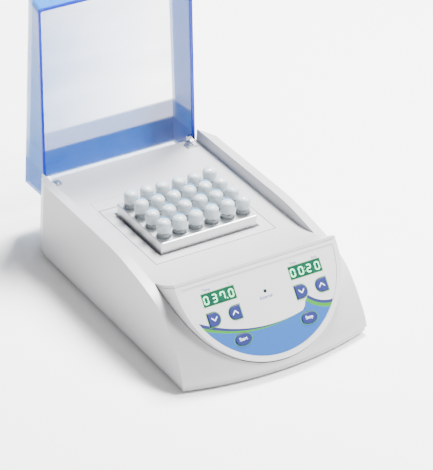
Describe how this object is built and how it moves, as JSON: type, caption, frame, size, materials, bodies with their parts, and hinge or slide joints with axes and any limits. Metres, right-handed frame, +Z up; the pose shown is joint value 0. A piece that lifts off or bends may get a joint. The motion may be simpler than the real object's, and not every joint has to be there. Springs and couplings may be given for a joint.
{
  "type": "dry block heater",
  "caption": "Bench-top dry block heater: a sloping round control panel, an aluminium tube block with capped microtubes in a deck between side rails, and a hinged clear blue lid, shown open.",
  "frame": {"origin": "middle of the whole footprint, lid open, on the plane the feet stand on", "axes": "+Z up, +X to the operator's right, -Y towards the operator"},
  "size_m": [0.1816, 0.3131, 0.2282],
  "materials": {
    "casing_white": "smooth moulded off-white",
    "console_grey": "smooth moulded light grey",
    "overlay_grey": "fine satin printed film",
    "key_blue": "smooth royal blue",
    "display_green": "dark green filter window",
    "display_module": "dark display body",
    "lamp_green": "small clear lamp",
    "board_green": "circuit board",
    "switch_black": "black moulded",
    "relay_blue": "blue moulded",
    "screw_steel": "plain steel",
    "pin_brass": "bright",
    "block_aluminium": "fine machined",
    "silicone_orange": "matte silicone",
    "insulation": "soft fibre board",
    "panel_grey": "powder coat",
    "fuse_glass": "clear",
    "foot_rubber": "matte",
    "tube_clear": "translucent natural polypropylene",
    "cap_clear": "translucent natural polypropylene",
    "lid_clear": "clear blue acrylic"
  },
  "bodies": {
    "casing": {"top_cover": "casing_white", "base_tray": "casing_white", "rubber_foot_1": "foot_rubber", "rubber_foot_2": "foot_rubber", "rubber_foot_3": "foot_rubber", "rubber_foot_4": "foot_rubber", "base_screws": "screw_steel", "control_console": "console_grey", "membrane_overlay": "overlay_grey", "temperature_window": "display_green", "temperature_display": "display_module", "time_window": "display_green", "time_display": "display_module", "status_lamp": "lamp_green", "key_switches": "switch_black", "control_board": "board_green", "board_screws": "screw_steel", "well_frame": "casing_white", "rear_filler": "casing_white", "heating_well": "block_aluminium", "heater_pad": "silicone_orange", "insulation_slab": "insulation", "insulation_wrap": "insulation", "well_standoffs": "screw_steel", "well_screws": "screw_steel", "temperature_sensor": "screw_steel", "thermal_cutout": "switch_black", "power_board": "board_green", "transformer": "switch_black", "power_relay": "relay_blue", "heat_sink": "block_aluminium", "power_board_screws": "screw_steel", "rear_panel": "panel_grey", "rear_panel_screws": "screw_steel", "power_inlet": "switch_black", "inlet_pins": "pin_brass", "rocker_housing": "switch_black", "hinge_bracket_left": "screw_steel", "hinge_bracket_right": "screw_steel", "hinge_pin_left": "screw_steel", "hinge_pin_right": "screw_steel", "hinge_screws": "screw_steel"},
    "block": {"sample_block": "block_aluminium"},
    "tubes": {"sample_tubes": "tube_clear", "tube_caps": "cap_clear"},
    "lid": {"lid_shell": "lid_clear"},
    "key_temperature_down": {"key_temperature_down": "key_blue"},
    "key_temperature_up": {"key_temperature_up": "key_blue"},
    "key_time_down": {"key_time_down": "key_blue"},
    "key_time_up": {"key_time_up": "key_blue"},
    "key_start": {"key_start": "key_blue"},
    "key_stop": {"key_stop": "key_blue"},
    "rocker": {"rocker_switch": "switch_black"},
    "fuse_drawer": {"fuse_drawer": "switch_black", "fuse": "fuse_glass"}
  },
  "joints": [
    {"name": "block_lift", "type": "slide", "parent": "casing", "child": "block", "axis": [0, 0, 1], "range_m": [0, 0.055]},
    {"name": "tubes_lift", "type": "slide", "parent": "block", "child": "tubes", "axis": [0, 0, 1], "range_m": [0, 0.045]},
    {"name": "lid_hinge", "type": "hinge", "parent": "casing", "child": "lid", "pos_m": [0, 0.12162, 0.0653], "axis": [-1, 0, 0], "range_deg": [-92.8, 0]},
    {"name": "key_temperature_down_press", "type": "slide", "parent": "casing", "child": "key_temperature_down", "axis": [0, 0.7944, -0.6074], "range_m": [0, 0.0006], "stiffness_N_per_m": 800},
    {"name": "key_temperature_up_press", "type": "slide", "parent": "casing", "child": "key_temperature_up", "axis": [0, 0.7944, -0.6074], "range_m": [0, 0.0006], "stiffness_N_per_m": 800},
    {"name": "key_time_down_press", "type": "slide", "parent": "casing", "child": "key_time_down", "axis": [0, 0.7944, -0.6074], "range_m": [0, 0.0006], "stiffness_N_per_m": 800},
    {"name": "key_time_up_press", "type": "slide", "parent": "casing", "child": "key_time_up", "axis": [0, 0.7944, -0.6074], "range_m": [0, 0.0006], "stiffness_N_per_m": 800},
    {"name": "key_start_press", "type": "slide", "parent": "casing", "child": "key_start", "axis": [0, 0.7944, -0.6074], "range_m": [0, 0.0006], "stiffness_N_per_m": 800},
    {"name": "key_stop_press", "type": "slide", "parent": "casing", "child": "key_stop", "axis": [0, 0.7944, -0.6074], "range_m": [0, 0.0006], "stiffness_N_per_m": 800},
    {"name": "rocker_turn", "type": "hinge", "parent": "casing", "child": "rocker", "pos_m": [-0.003, 0.11772, 0.031], "axis": [1, 0, 0], "range_deg": [-20, 0]},
    {"name": "fuse_drawer_slide", "type": "slide", "parent": "casing", "child": "fuse_drawer", "axis": [0, 1, 0], "range_m": [0, 0.018]}
  ]
}
